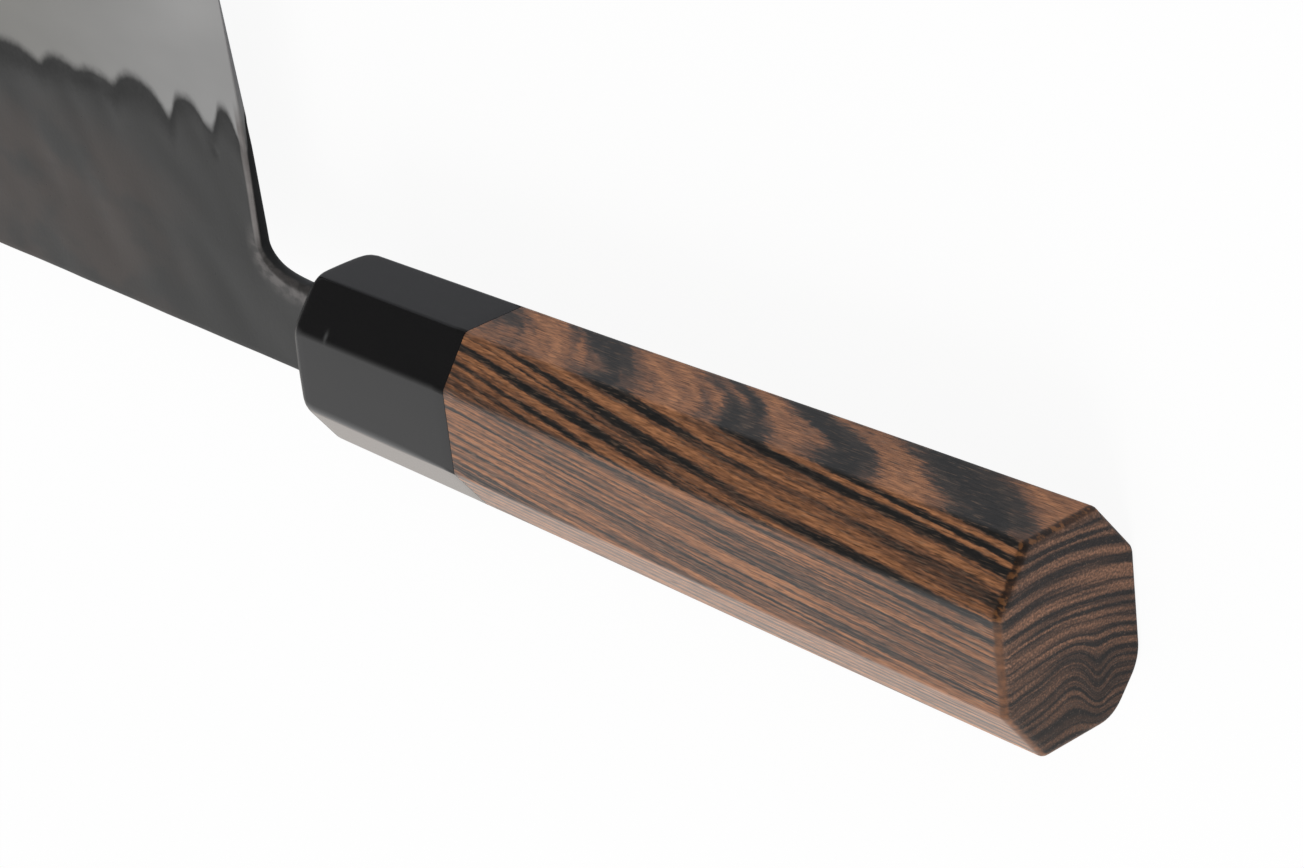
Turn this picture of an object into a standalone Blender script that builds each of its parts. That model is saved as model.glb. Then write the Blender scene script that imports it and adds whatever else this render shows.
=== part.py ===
"""Santoku knife with a three-layer blade and an octagonal, two-piece stick-tang handle.

The knife lies on the left side of its handle, +Z up, in metres. The tip points to -X, the cutting
edge to +Y. Pieces are placed from the mouth of the ferrule, the point on the handle's axis where
the blade enters it, and an empty there sets the origin under the middle of the knife's box.
"""

from math import asin, cos, pi, sin, sqrt

import bmesh
import bpy
import numpy as np
from mathutils import Matrix

MM = 0.001

# Blade, seen on its side: offsets are from the handle's axis, setbacks from the ferrule's mouth
BLADE_LENGTH = 170 * MM
SPINE_OFFSET = 6.5 * MM
SPINE_FALL_TO_TIP = 2.0 * MM
HEEL_OFFSET = 45.5 * MM
HEEL_SETBACK = 17.3 * MM
TIP_OFFSET = 33.5 * MM
BELLY_POWER = 2.8
NOSE_LENGTH = 58 * MM
NECK_OFFSET = 5.9 * MM
CHOIL_FOOT_SETBACK = 16.0 * MM
CHOIL_FOOT_OFFSET = 10.2 * MM
CHOIL_SWEEP = 9.0 * MM
CORNER_EASE = 0.35 * MM

# Blade, through its thickness
SPINE_THICKNESS = 3.0 * MM
SPINE_TAPER_TO_TIP = 0.4 * MM
SHOULDER_THICKNESS = 1.4 * MM
BEVEL_END_THICKNESS = 0.2 * MM
EDGE_THICKNESS = 0.05 * MM
EDGE_BEVEL_WIDTH = 0.6 * MM
BEVEL_WIDTH = 21 * MM
CORE_THICKNESS = 0.7 * MM
CORE_EXPOSED = 10 * MM
CLADDING_LIP = 0.06 * MM
WELD_GAP = 0.05 * MM

# Hammer marks that end at the ground bevel in a row of rounded lobes
SKIN_STEP = 0.08 * MM
STEP_RUN = 0.15 * MM
LOBE_PITCH = 9.9 * MM
LOBE_DEPTH = 2.7 * MM
LOBE_TO_EDGE = 17 * MM
SECTIONS_PER_LOBE = 8

# Tang
TANG_LENGTH = 86 * MM
TANG_HEIGHT = 9.4 * MM
TANG_END_HEIGHT = 5.0 * MM
TANG_END_THICKNESS = 2.2 * MM

# Handle
HANDLE_LENGTH = 130.5 * MM
FERRULE_LENGTH = 33.1 * MM
FRONT_HEIGHT = 23.4 * MM
FRONT_WIDTH = 17.9 * MM
FRONT_SIDE_FACET = 11.1 * MM
FRONT_TOP_FACET = 9.0 * MM
BUTT_HEIGHT = 26.1 * MM
BUTT_WIDTH = 21.5 * MM
BUTT_SIDE_FACET = 12.3 * MM
BUTT_TOP_FACET = 10.8 * MM
FERRULE_ROUND = 2.2 * MM
BUTT_BEVEL = 1.2 * MM
FACET_EASE = 0.4 * MM
MOUTH_CLEARANCE = 1.2 * MM
MOUTH_WALL = 10 * MM
DOWEL_DIAMETER = 12 * MM
DOWEL_END_WALL = 8 * MM
DOWEL_CHAMFER = 0.6 * MM

SEAT_GAP = 0.3 * MM
GLUE_LINE = 0.1 * MM
OVERCUT = 2 * MM

HEEL_X = -HEEL_SETBACK
TIP_X = HEEL_X - BLADE_LENGTH
NECK_X = -CHOIL_FOOT_SETBACK + CHOIL_SWEEP
NECK_MIDDLE = (NECK_OFFSET - SPINE_OFFSET) / 2
NECK_HEIGHT = NECK_OFFSET + SPINE_OFFSET


def spine_offset(x):
    """How far the spine lies from the handle's axis: it falls towards the axis on its way to the tip."""
    return SPINE_OFFSET + SPINE_FALL_TO_TIP * min(x, 0) / (HEEL_SETBACK + BLADE_LENGTH)


def edge_offset(x):
    """How far the cutting edge lies from the handle's axis: flat at the heel, rising to the tip."""
    along = np.clip((HEEL_X - x) / BLADE_LENGTH, 0, None)
    return HEEL_OFFSET - (HEEL_OFFSET - TIP_OFFSET) * along**BELLY_POWER


def flat_half(x, y):
    """Half thickness of the flat above the bevel, one plane that thins to the tip and the edge."""
    to_tip = (HEEL_X - x) * SPINE_TAPER_TO_TIP / BLADE_LENGTH
    flat_depth = HEEL_OFFSET - BEVEL_WIDTH + SPINE_OFFSET
    to_edge = (y + SPINE_OFFSET) * (SPINE_THICKNESS - SHOULDER_THICKNESS) / flat_depth
    return (SPINE_THICKNESS - to_tip - to_edge) / 2


def bevel_half(x, y):
    """Half thickness of the ground bevel, straight from its shoulder to the cutting edge."""
    edge = edge_offset(x)
    shoulder = flat_half(x, edge - BEVEL_WIDTH) - SKIN_STEP
    share = (edge - y) / BEVEL_WIDTH
    return BEVEL_END_THICKNESS / 2 + (shoulder - BEVEL_END_THICKNESS / 2) * share


def lobe_offset(x):
    """Line where the hammered skin ends: round lobes of even reach between valleys of uneven depth."""
    turn = (HEEL_X - x) / LOBE_PITCH
    wander = turn + 0.3 + 0.2 * np.sin(1.73 * turn - 0.7)
    depth = LOBE_DEPTH * (1 + 0.63 * np.cos(1.35 * turn - 1.9))
    return edge_offset(x) - LOBE_TO_EDGE - depth * (1 - np.abs(np.sin(pi * wander)) ** 0.7)


def cladding_offset(x):
    """Line where the cladding ends and the bare core begins."""
    return edge_offset(x) - CORE_EXPOSED


def tang_half(x):
    """Half thickness of the neck and tang, even to the ferrule's mouth and then tapering."""
    inside = np.clip(x / TANG_LENGTH, 0, None)
    return (SPINE_THICKNESS + (TANG_END_THICKNESS - SPINE_THICKNESS) * inside) / 2


def tang_height(x):
    """Height of the tang: the neck's at the mouth, stepped in behind the ferrule's front wall."""
    return float(np.interp(x, (0, MOUTH_WALL, TANG_LENGTH), (NECK_HEIGHT, TANG_HEIGHT, TANG_END_HEIGHT)))


def outer_half(x, y):
    """Half thickness of the whole blade at any point, blended from its foot to the neck."""
    foot = min(x, -CHOIL_FOOT_SETBACK)
    blade = flat_half(foot, y) if y < lobe_offset(foot) else bevel_half(foot, y)
    share = np.clip((x - foot) / (NECK_X - foot), 0, 1)
    return blade + (tang_half(x) - blade) * share


def nose_arc(count=28):
    """Points of the round nose, from where it leaves the spine to the tip, as one circle's arc."""
    start = TIP_X + NOSE_LENGTH
    drop = TIP_OFFSET + spine_offset(start)
    radius = (NOSE_LENGTH**2 + drop**2) / (2 * drop)
    turn = asin(NOSE_LENGTH / radius)
    if drop > radius:
        turn = pi - turn
    angles = [turn * i / count for i in range(count + 1)]
    arc = [(start - radius * sin(a), radius * (1 - cos(a)) - spine_offset(start)) for a in angles]
    return arc, turn


def choil_curve(count=8):
    """Hollow curve from the foot of the choil to the neck, pulled in towards its corner."""
    foot = np.array((-CHOIL_FOOT_SETBACK, CHOIL_FOOT_OFFSET))
    neck = np.array((NECK_X, NECK_OFFSET))
    corner = np.array((0.94 * foot[0] + 0.06 * neck[0], 0.9 * neck[1] + 0.1 * foot[1]))
    points = []
    for t in np.linspace(0, 1, count + 1):
        points.append(tuple((1 - t) ** 2 * foot + 2 * t * (1 - t) * corner + t**2 * neck))
    return points


def blade_outline():
    """Side view of the blade and tang, left open past the cutting edge, which is ground instead."""
    nose, turn = nose_arc()
    tip_x, tip_y = nose[-1]
    past_edge = HEEL_OFFSET + OVERCUT
    past_tip = (tip_x - cos(turn) * OVERCUT, tip_y + sin(turn) * OVERCUT)
    tang = [
        (0, NECK_MIDDLE + NECK_HEIGHT / 2),
        (MOUTH_WALL, NECK_MIDDLE + TANG_HEIGHT / 2),
        (TANG_LENGTH - TANG_END_HEIGHT / 4, NECK_MIDDLE + TANG_END_HEIGHT / 2),
        (TANG_LENGTH, NECK_MIDDLE + TANG_END_HEIGHT / 4),
    ]
    tang_back = [(x, 2 * NECK_MIDDLE - y) for x, y in reversed(tang)]
    heel_lean = (HEEL_SETBACK - CHOIL_FOOT_SETBACK) / (HEEL_OFFSET - CHOIL_FOOT_OFFSET)
    heights = np.linspace(past_edge, CHOIL_FOOT_OFFSET, 12)[:-1]
    choil = [(HEEL_X - heel_lean * (y - HEEL_OFFSET), y) for y in heights]
    return nose + [past_tip, (past_tip[0], past_edge)] + choil + choil_curve() + tang + tang_back


def new_object(name, mesh, collection):
    """Links a mesh as an object that sits on the knife's reference empty."""
    piece = bpy.data.objects.new(name, mesh)
    collection.objects.link(piece)
    piece.parent = bpy.data.objects["knife_reference"]
    return piece


def loft(name, rings, collection):
    """Solid through rings with equal numbers of points, closed by a flat cap at each end."""
    shape = bmesh.new()
    rows = [[shape.verts.new(point) for point in ring] for ring in rings]
    for near, far in zip(rows, rows[1:]):
        for i in range(len(near)):
            j = (i + 1) % len(near)
            shape.faces.new((near[i], near[j], far[j], far[i]))
    shape.faces.new(rows[0])
    shape.faces.new(rows[-1])
    bmesh.ops.recalc_face_normals(shape, faces=shape.faces)
    mesh = bpy.data.meshes.new(name)
    shape.to_mesh(mesh)
    shape.free()
    return new_object(name, mesh, collection)


def cylinder(name, start, end, diameter, collection):
    """Round bar along the handle's axis between two distances from the mouth."""
    shape = bmesh.new()
    bmesh.ops.create_cone(
        shape,
        cap_ends=True,
        segments=40,
        radius1=diameter / 2,
        radius2=diameter / 2,
        depth=end - start,
        matrix=Matrix.Rotation(pi / 2, 4, "Y"),
    )
    mesh = bpy.data.meshes.new(name)
    shape.to_mesh(mesh)
    shape.free()
    piece = new_object(name, mesh, collection)
    piece.location.x = (start + end) / 2
    return piece


def block(name, start, end, height, width, collection):
    """Rectangular bar along the neck's middle line between two distances from the mouth."""
    shape = bmesh.new()
    bmesh.ops.create_cube(shape, size=1, matrix=Matrix.Diagonal((end - start, height, width, 1)))
    mesh = bpy.data.meshes.new(name)
    shape.to_mesh(mesh)
    shape.free()
    piece = new_object(name, mesh, collection)
    piece.location = ((start + end) / 2, NECK_MIDDLE, 0)
    return piece


def make_cutter(cutter):
    """Marks an object as a tool that only shapes other pieces."""
    cutter.hide_render = True
    cutter.display_type = "WIRE"
    return cutter


def cut(piece, cutter, operation="DIFFERENCE"):
    """Adds a Boolean modifier that shapes the piece with the cutter."""
    boolean = piece.modifiers.new(cutter.name, "BOOLEAN")
    boolean.operation = operation
    boolean.solver = "EXACT"
    boolean.object = cutter


def steel_plate(cutters):
    """Plate with the blade's side outline, thicker than the blade, that trims each layer."""
    curve = bpy.data.curves.new("blade_plate", "CURVE")
    curve.dimensions = "2D"
    curve.fill_mode = "BOTH"
    curve.extrude = SPINE_THICKNESS
    outline = blade_outline()
    spline = curve.splines.new("POLY")
    spline.points.add(len(outline) - 1)
    for point, (x, y) in zip(spline.points, outline):
        point.co = (x, y, 0, 1)
    spline.use_cyclic_u = True
    flat = bpy.data.objects.new("blade_plate_curve", curve)
    cutters.objects.link(flat)
    bpy.context.view_layer.update()
    evaluated = flat.evaluated_get(bpy.context.evaluated_depsgraph_get())
    mesh = bpy.data.meshes.new_from_object(evaluated)
    bpy.data.objects.remove(flat)
    shape = bmesh.new()
    shape.from_mesh(mesh)
    bmesh.ops.remove_doubles(shape, verts=shape.verts, dist=0.001 * MM)
    shape.to_mesh(mesh)
    shape.free()
    return make_cutter(new_object("blade_plate", mesh, cutters))


def inset(outline, depths):
    """Outline moved inwards, each point by its own depth along the middle of its corner."""
    points = np.array(outline)
    ahead = np.roll(points, -1, axis=0) - points
    ahead /= np.linalg.norm(ahead, axis=1)[:, None]
    behind = np.roll(ahead, 1, axis=0)
    inward = np.stack((-ahead[:, 1], ahead[:, 0]), 1) + np.stack((-behind[:, 1], behind[:, 0]), 1)
    inward /= 1 + (ahead * behind).sum(1)[:, None]
    area = (points[:, 0] * np.roll(points[:, 1], -1) - points[:, 1] * np.roll(points[:, 0], -1)).sum()
    return points + np.sign(area) * inward * depths[:, None]


def eased_plate(face, cutters):
    """Plate with the blade's side outline that also rounds the corner to the blade's side."""
    outline = blade_outline()
    top = np.array([outer_half(x, y) for x, y in outline])
    ease = np.minimum(CORNER_EASE, top / 2)
    far = np.full(len(top), SPINE_THICKNESS)
    rings = [np.column_stack((outline, -face * far))]
    for turn in np.linspace(0, pi / 2, 4):
        heights = top - ease * (1 - sin(turn))
        rings.append(np.column_stack((inset(outline, ease * (1 - cos(turn))), face * heights)))
    rings.append(np.column_stack((rings[-1][:, :2], face * far)))
    name = "eased_plate_right" if face > 0 else "eased_plate_left"
    return make_cutter(loft(name, rings, cutters))


def blade_stations(spacing):
    """Distances along the blade at which its section is drawn, from past the tip to the choil."""
    start = TIP_X - OVERCUT
    end = -CHOIL_FOOT_SETBACK
    return np.linspace(start, end, round((end - start) / spacing) + 1)


def neck_stations():
    """Distances along the neck and tang at which the section changes."""
    return np.array((NECK_X, 0, MOUTH_WALL, TANG_LENGTH + OVERCUT))


def core_half(x, y):
    """Half thickness of the core under the cladding, thinning with the blade towards the edge."""
    end = cladding_offset(x)
    end_half = bevel_half(x, end) - CLADDING_LIP - WELD_GAP
    share = (y + SPINE_OFFSET) / (end + SPINE_OFFSET)
    return CORE_THICKNESS / 2 + (end_half - CORE_THICKNESS / 2) * share


def core_emerges(x):
    """Line where the bare core's flat side meets the ground bevel."""
    edge = edge_offset(x)
    flat = core_half(x, cladding_offset(x)) - BEVEL_END_THICKNESS / 2
    slope = (bevel_half(x, edge - BEVEL_WIDTH) - BEVEL_END_THICKNESS / 2) / BEVEL_WIDTH
    return edge - flat / slope


def core_side(x):
    """Upper half of the core's section: a thin wedge, then the bare edge with its honed bevel."""
    past_spine = -SPINE_OFFSET - OVERCUT
    end = cladding_offset(x)
    honed = edge_offset(x) - EDGE_BEVEL_WIDTH
    return [
        (past_spine, core_half(x, past_spine)),
        (end, core_half(x, end)),
        (core_emerges(x), core_half(x, end)),
        (honed, bevel_half(x, honed)),
        (edge_offset(x), EDGE_THICKNESS / 2),
    ]


def core_rings():
    """Sections of the core along the blade, then of even thickness through neck and tang."""
    rings = [mirrored_ring(x, core_side(x)) for x in blade_stations(5 * MM)]
    even = [(y, CORE_THICKNESS / 2) for y, half in core_side(-CHOIL_FOOT_SETBACK)]
    return rings + [mirrored_ring(x, even) for x in neck_stations()]


def mirrored_ring(x, side):
    """Closed section from the points of its upper side and their mirror image below."""
    upper = [(x, y, z) for y, z in side]
    lower = [(x, y, -z) for y, z in reversed(side)]
    return upper + lower


def cladding_rings(face):
    """Sections of one cladding layer, on the +Z side for face 1 and on the -Z side for face -1."""
    past_spine = -SPINE_OFFSET - OVERCUT
    rings = []
    for x in blade_stations(LOBE_PITCH / SECTIONS_PER_LOBE):
        lobe = lobe_offset(x)
        end = cladding_offset(x)
        section = [
            (past_spine, core_half(x, past_spine) + WELD_GAP),
            (past_spine, flat_half(x, past_spine)),
            (lobe, flat_half(x, lobe)),
            (lobe + STEP_RUN, bevel_half(x, lobe + STEP_RUN)),
            (end, bevel_half(x, end)),
            (end, core_half(x, end) + WELD_GAP),
        ]
        rings.append([(x, y, face * z) for y, z in section])
    last = rings[-1]
    for x in neck_stations():
        inner = CORE_THICKNESS / 2 + WELD_GAP
        outer = tang_half(x)
        halves = (inner, outer, outer, outer, outer, inner)
        rings.append([(x, point[1], face * z) for point, z in zip(last, halves)])
    return rings


def tang_cavity(name, cutters):
    """Space of the neck and tang with the seat gap all round, for the pieces that close on it."""
    stations = (-OVERCUT, 0, MOUTH_WALL, TANG_LENGTH + SEAT_GAP)
    rings = []
    for x in stations:
        top = NECK_MIDDLE + tang_height(x) / 2 + SEAT_GAP
        bottom = NECK_MIDDLE - tang_height(x) / 2 - SEAT_GAP
        side = tang_half(x) + SEAT_GAP
        rings.append([(x, top, side), (x, bottom, side), (x, bottom, -side), (x, top, -side)])
    return make_cutter(loft(name, rings, cutters))


def handle_section(x):
    """Height, width, side facet and top facet of the handle at a distance behind its front."""
    share = x / HANDLE_LENGTH
    front = np.array((FRONT_HEIGHT, FRONT_WIDTH, FRONT_SIDE_FACET, FRONT_TOP_FACET))
    butt = np.array((BUTT_HEIGHT, BUTT_WIDTH, BUTT_SIDE_FACET, BUTT_TOP_FACET))
    return front + (butt - front) * share


def octagon(x):
    """Ring of the handle's eight corners, from the facet on the edge side round the +Z side."""
    height, width, side, top = handle_section(x) / 2
    half = [(height, top), (side, width), (-side, width), (-height, top)]
    other = [(y, -z) for y, z in reversed(half)]
    return [(x, y, z) for y, z in half + other]


def round_edges(piece, rim_x, rim_width, segments):
    """Rounds the rim at rim_x, and eases the eight long edges by less."""
    mesh = piece.data
    weights = mesh.attributes.new("bevel_weight_edge", "FLOAT", "EDGE").data
    for edge in mesh.edges:
        ends = [mesh.vertices[i].co.x for i in edge.vertices]
        if abs(ends[0] - ends[1]) > OVERCUT:
            weights[edge.index].value = FACET_EASE / rim_width
        elif abs(ends[0] - rim_x) < 0.01 * MM:
            weights[edge.index].value = 1
    bevel = piece.modifiers.new("rounded_edges", "BEVEL")
    bevel.limit_method = "WEIGHT"
    bevel.width = rim_width
    bevel.segments = segments


def make_blade(parts, cutters):
    """The blade and tang: a hard core between two layers of softer, hammered cladding."""
    core = loft("blade_core", core_rings(), parts)
    right = loft("cladding_right", cladding_rings(1), parts)
    left = loft("cladding_left", cladding_rings(-1), parts)
    cut(core, steel_plate(cutters), "INTERSECT")
    cut(right, eased_plate(1, cutters), "INTERSECT")
    cut(left, eased_plate(-1, cutters), "INTERSECT")
    return core, right, left


def make_ferrule(parts, cutters):
    """Octagonal ferrule: rounded front, slot for the neck, and a round socket from behind."""
    ferrule = loft("ferrule", [octagon(0), octagon(FERRULE_LENGTH)], parts)
    round_edges(ferrule, 0, FERRULE_ROUND, 4)
    slot = block(
        "mouth_slot",
        -OVERCUT,
        MOUTH_WALL + OVERCUT,
        NECK_HEIGHT + 2 * MOUTH_CLEARANCE,
        SPINE_THICKNESS + 2 * MOUTH_CLEARANCE,
        cutters,
    )
    cut(ferrule, make_cutter(slot))
    return ferrule


def make_handle_body(parts):
    """Octagonal wooden grip with an eased butt."""
    front = FERRULE_LENGTH + GLUE_LINE
    body = loft("handle_body", [octagon(front), octagon(HANDLE_LENGTH)], parts)
    round_edges(body, HANDLE_LENGTH, BUTT_BEVEL, 3)
    return body


def make_dowel(parts):
    """Round wooden dowel that joins ferrule and grip, pocketed for the tang."""
    end = TANG_LENGTH + DOWEL_END_WALL
    dowel = cylinder("tang_dowel", MOUTH_WALL + SEAT_GAP, end, DOWEL_DIAMETER, parts)
    chamfer = dowel.modifiers.new("chamfer", "BEVEL")
    chamfer.limit_method = "ANGLE"
    chamfer.width = DOWEL_CHAMFER
    chamfer.segments = 1
    return dowel


def make_adhesive(parts):
    """Bed of hardened adhesive that fills the ferrule's mouth round the neck."""
    return block(
        "tang_adhesive",
        SEAT_GAP,
        MOUTH_WALL,
        NECK_HEIGHT + 2 * (MOUTH_CLEARANCE - SEAT_GAP),
        SPINE_THICKNESS + 2 * (MOUTH_CLEARANCE - SEAT_GAP),
        parts,
    )


def material(name, colour, roughness, metallic=0.0):
    """Plain surface with one colour."""
    surface = bpy.data.materials.new(name)
    surface.use_nodes = True
    shader = surface.node_tree.nodes["Principled BSDF"]
    shader.inputs["Base Color"].default_value = (*colour, 1)
    shader.inputs["Roughness"].default_value = roughness
    shader.inputs["Metallic"].default_value = metallic
    surface.diffuse_color = (*colour, 1)
    return surface


def dress(pieces, surface):
    """Gives each of the pieces the same material."""
    for piece in pieces:
        piece.data.materials.append(surface)


def clear_scene():
    """Removes every object that the open file holds."""
    for old in list(bpy.data.objects):
        bpy.data.objects.remove(old)


def new_collection(name):
    """Collection under the scene's own."""
    collection = bpy.data.collections.new(name)
    bpy.context.scene.collection.children.link(collection)
    return collection


def place_reference(collection):
    """Empty at the ferrule's mouth, set so that the origin is under the middle of the knife."""
    reference = bpy.data.objects.new("knife_reference", None)
    collection.objects.link(reference)
    widest = handle_section(HANDLE_LENGTH - BUTT_BEVEL)[1]
    reference.location = (
        -(TIP_X + HANDLE_LENGTH) / 2,
        -(HEEL_OFFSET - BUTT_HEIGHT / 2) / 2,
        widest / 2,
    )


def main():
    clear_scene()
    parts = new_collection("santoku_knife")
    cutters = new_collection("cutters")
    place_reference(parts)

    core, *cladding = make_blade(parts, cutters)
    ferrule = make_ferrule(parts, cutters)
    body = make_handle_body(parts)
    dowel = make_dowel(parts)
    adhesive = make_adhesive(parts)

    socket_end = TANG_LENGTH + DOWEL_END_WALL + SEAT_GAP
    bore = DOWEL_DIAMETER + 2 * SEAT_GAP
    socket = make_cutter(cylinder("dowel_socket", MOUTH_WALL, socket_end, bore, cutters))
    cavity = tang_cavity("tang_cavity", cutters)
    cut(ferrule, socket)
    cut(body, socket)
    cut(dowel, cavity)
    cut(adhesive, cavity)

    dress([core], material("core_steel", (0.46, 0.46, 0.45), 0.28, 1.0))
    dress(cladding, material("forged_skin", (0.075, 0.07, 0.066), 0.5, 0.7))
    dress([ferrule], material("black_ferrule", (0.018, 0.017, 0.017), 0.3))
    dress([body], material("striped_wood", (0.19, 0.085, 0.04), 0.45))
    dress([dowel], material("pale_wood", (0.62, 0.48, 0.3), 0.65))
    dress([adhesive], material("dark_resin", (0.05, 0.03, 0.015), 0.35))


main()
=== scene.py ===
"""Looks of a santoku knife: hammered blade, black ferrule and striped wooden handle."""

import logging
from collections.abc import Mapping, Sequence
from dataclasses import astuple, dataclass, field, replace
from enum import Enum
from functools import cached_property

import bpy
import numpy as np
from mathutils import Matrix, Vector


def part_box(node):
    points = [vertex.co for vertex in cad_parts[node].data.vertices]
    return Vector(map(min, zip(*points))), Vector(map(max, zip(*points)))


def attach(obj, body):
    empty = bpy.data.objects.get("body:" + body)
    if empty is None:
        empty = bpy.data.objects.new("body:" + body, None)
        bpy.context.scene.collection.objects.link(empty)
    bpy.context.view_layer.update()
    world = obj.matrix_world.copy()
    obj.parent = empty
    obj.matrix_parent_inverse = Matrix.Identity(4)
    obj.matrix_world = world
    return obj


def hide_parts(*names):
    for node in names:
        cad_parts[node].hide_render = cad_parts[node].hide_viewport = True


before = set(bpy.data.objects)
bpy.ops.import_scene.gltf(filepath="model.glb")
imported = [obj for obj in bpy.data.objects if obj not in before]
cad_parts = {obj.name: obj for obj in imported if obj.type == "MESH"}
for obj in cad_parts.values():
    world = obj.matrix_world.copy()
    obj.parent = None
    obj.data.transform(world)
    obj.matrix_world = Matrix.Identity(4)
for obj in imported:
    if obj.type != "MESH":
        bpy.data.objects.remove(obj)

MM = 0.001
BODY = "root"
TURN = 2 * np.pi
CHUNK = 4096
log = logging.getLogger("knife")

Array = np.ndarray
Piece = bpy.types.Object
Socket = bpy.types.NodeSocket
Pair = tuple[float, float]
Triple = tuple[float, float, float]
Quad = tuple[float, float, float, float]


class Slot(Enum):
    """The record's slots that new pieces belong to, passed along but not read."""

    SKIN = "forged_skin"
    FERRULE = "black_ferrule"
    GRIP = "striped_wood"
    RESIN = "dark_resin"


class Side(Enum):
    """The two sides of the blade, by the direction that each faces."""

    RIGHT = 1
    LEFT = -1


@dataclass(frozen=True)
class Value:
    """A number or colour that varies over a surface: a socket times a factor, plus a shift.

    Values add and multiply as numbers do, and a node is made only where two values meet or one is used.
    """

    tree: "Tree"
    socket: Socket
    factor: float = 1.0
    shift: float = 0.0

    @cached_property
    def out(self) -> Socket:
        """Socket that carries the value, its factor and shift worked in."""
        if (self.factor, self.shift) == (1.0, 0.0):
            return self.socket
        return self.tree.math("MULTIPLY_ADD", self.socket, self.factor, self.shift).socket

    def __add__(self, other: "Value | float") -> "Value":
        """Sum with a value or a number."""
        if isinstance(other, Value):
            return self.tree.math("ADD", self, other)
        return replace(self, shift=self.shift + other)

    def __mul__(self, other: "Value | float") -> "Value":
        """Product with a value or a number."""
        if isinstance(other, Value):
            return self.tree.math("MULTIPLY", self, other)
        return replace(self, factor=self.factor * other, shift=self.shift * other)

    def __sub__(self, other: "Value | float") -> "Value":
        """Difference from a value or a number."""
        return self + other * -1.0

    def __rsub__(self, other: float) -> "Value":
        """A number less the value."""
        return self * -1.0 + other

    __radd__ = __add__
    __rmul__ = __mul__

    def max(self, other: "Source") -> "Value":
        """The larger of two values."""
        return self.tree.math("MAXIMUM", self, other)

    def step(self, low: float, high: float, start: float = 0.0, end: float = 1.0) -> "Value":
        """Smooth step from start at low to end at high, whichever of low and high is the larger."""
        (low, start), (high, end) = sorted(((low, start), (high, end)))
        inputs = {"Value": self, "From Min": low, "From Max": high, "To Min": start, "To Max": end}
        return self.tree.value("MapRange", inputs, interpolation_type="SMOOTHSTEP")

    def lerp(self, first: "Source", second: "Source") -> "Value":
        """Number between two numbers: the first where this share is 0, the second where it is 1."""
        return self.tree.math("MULTIPLY_ADD", self, self.tree.math("SUBTRACT", second, first), first)

    def mix(self, first: "Source", second: "Source") -> "Value":
        """Colour between two colours: the first where this share is 0, the second where it is 1."""
        first, second = (c if isinstance(c, Value) else (*c, 1) for c in (first, second))
        return self.tree.value("Mix", {0: self, 6: first, 7: second}, 2, data_type="RGBA")

    def tint(self, colour: "Source") -> "Value":
        """Colour times this factor."""
        return self.tree.value("VectorMath", {0: colour, "Scale": self}, operation="SCALE")

    def ramp(self, stops: Sequence[tuple[float, float | Triple]]) -> "Value":
        """Straight runs between stops, each a place from 0 to 1 with its number or colour."""
        node = self.tree.node("ValToRGB", {0: self})
        elements = node.color_ramp.elements
        while len(elements) < len(stops):
            elements.new(0.5)
        for element, (place, tone) in zip(elements, stops):
            element.position = place
            element.color = (*np.broadcast_to(tone, 3), 1)
        return Value(self.tree, node.outputs[0])


Source = Value | Socket | float | Sequence[float]


class Tree:
    """Node tree of a material or world, with short calls for the nodes that its look needs."""

    def __init__(self, owner: bpy.types.Material | bpy.types.World) -> None:
        """Turns the owner's nodes on."""
        owner.use_nodes = True
        self.nodes, self.links = owner.node_tree.nodes, owner.node_tree.links

    def put(self, target: Socket, source: Source) -> None:
        """Links a value or socket to a target, or sets the target's own value."""
        source = source.out if isinstance(source, Value) else source
        if isinstance(source, Socket):
            self.links.new(source, target)
        else:
            target.default_value = source

    def fill(self, node: bpy.types.Node, inputs: Mapping[str | int, Source]) -> bpy.types.Node:
        """Fills a node's inputs by name or number, and gives it back."""
        for key, source in inputs.items():
            self.put(node.inputs[key], source)
        return node

    def node(self, kind: str, inputs: Mapping[str | int, Source], **settings: str) -> bpy.types.Node:
        """Adds a node.

        Args:
            kind: the node's type, without its first two words.
            inputs: sources of its inputs by name or number.
            settings: its own settings by name, made before the inputs are filled.

        Returns:
            The node.
        """
        node = self.nodes.new("ShaderNode" + kind)
        for name, setting in settings.items():
            setattr(node, name, setting)
        return self.fill(node, inputs)

    def value(
        self, kind: str, inputs: Mapping[str | int, Source], output: int | str = 0, **settings: str
    ) -> Value:
        """Adds a node as node does, and gives one of its outputs."""
        return Value(self, self.node(kind, inputs, **settings).outputs[output])

    def math(self, operation: str, *inputs: Source) -> Value:
        """Result of one arithmetic node."""
        return self.value("Math", dict(enumerate(inputs)), operation=operation)

    def split(self, vector: Source) -> list[Value]:
        """The three parts of a vector."""
        return [Value(self, part) for part in self.node("SeparateXYZ", {0: vector}).outputs]


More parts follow.
